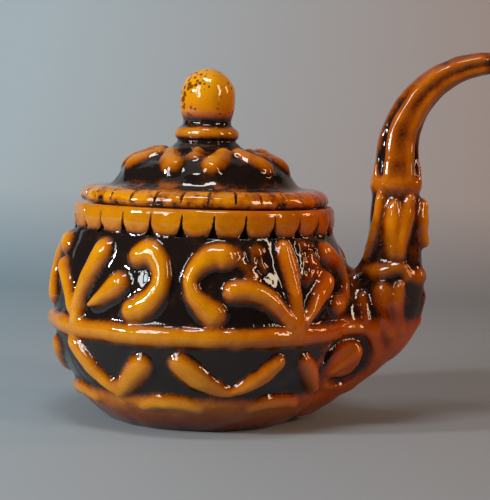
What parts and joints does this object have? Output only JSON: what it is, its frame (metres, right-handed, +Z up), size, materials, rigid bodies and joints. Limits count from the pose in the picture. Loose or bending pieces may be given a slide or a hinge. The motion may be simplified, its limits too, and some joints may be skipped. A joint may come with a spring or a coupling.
{
  "type": "coffee pot",
  "caption": "Round glazed stoneware coffee pot with a domed loose lid, a knob, applied relief and a tall curved tapering spout.",
  "frame": {"origin": "centre of the standing ring, on the table, under the bowl's axis", "axes": "+Z up along the bowl's axis, +X from the bowl towards the spout, +Y completes the right-handed frame"},
  "size_m": [0.2155, 0.149, 0.1806],
  "materials": {
    "umber_glaze": "glossy dark brown glaze, pooled in the recesses",
    "amber_glaze": "glossy honey amber glaze over the raised relief",
    "russet_glaze": "glossy orange brown glaze",
    "speckled_glaze": "glossy amber glaze with fine dark speckles",
    "bare_clay": "unglazed fired clay on the faces that stand or seat"
  },
  "bodies": {
    "pot": {"bowl": "umber_glaze", "foot_ring": "bare_clay", "base_band": "amber_glaze", "base_mounds": "amber_glaze", "girdle_band": "amber_glaze", "rim_band": "amber_glaze", "scroll_sprigs": "russet_glaze", "fleur_sprigs": "amber_glaze", "side_leaf_sprigs": "amber_glaze", "swag_sprigs": "russet_glaze", "spout_shank": "russet_glaze", "shank_heel": "russet_glaze", "shank_petals": "russet_glaze", "spout_lower_collar": "amber_glaze", "spout_neck": "umber_glaze", "neck_petals": "amber_glaze", "spout_upper_collar": "amber_glaze", "spout_stem": "umber_glaze"},
    "lid_seat": {"lid_flange": "bare_clay"},
    "lid": {"lid_dome": "umber_glaze", "lid_rim_band": "amber_glaze", "lid_leaf_sprigs": "amber_glaze", "lid_drop_sprigs": "amber_glaze", "lid_collar": "amber_glaze", "lid_knob": "speckled_glaze"}
  },
  "joints": [
    {"name": "lid_lift", "type": "slide", "parent": "pot", "child": "lid_seat", "axis": [0, 0, 1], "range_m": [0, 0.1]},
    {"name": "lid_turn", "type": "hinge", "parent": "lid_seat", "child": "lid", "pos_m": [0, 0, 0.1038], "axis": [0, 0, 1], "continuous": true}
  ]
}
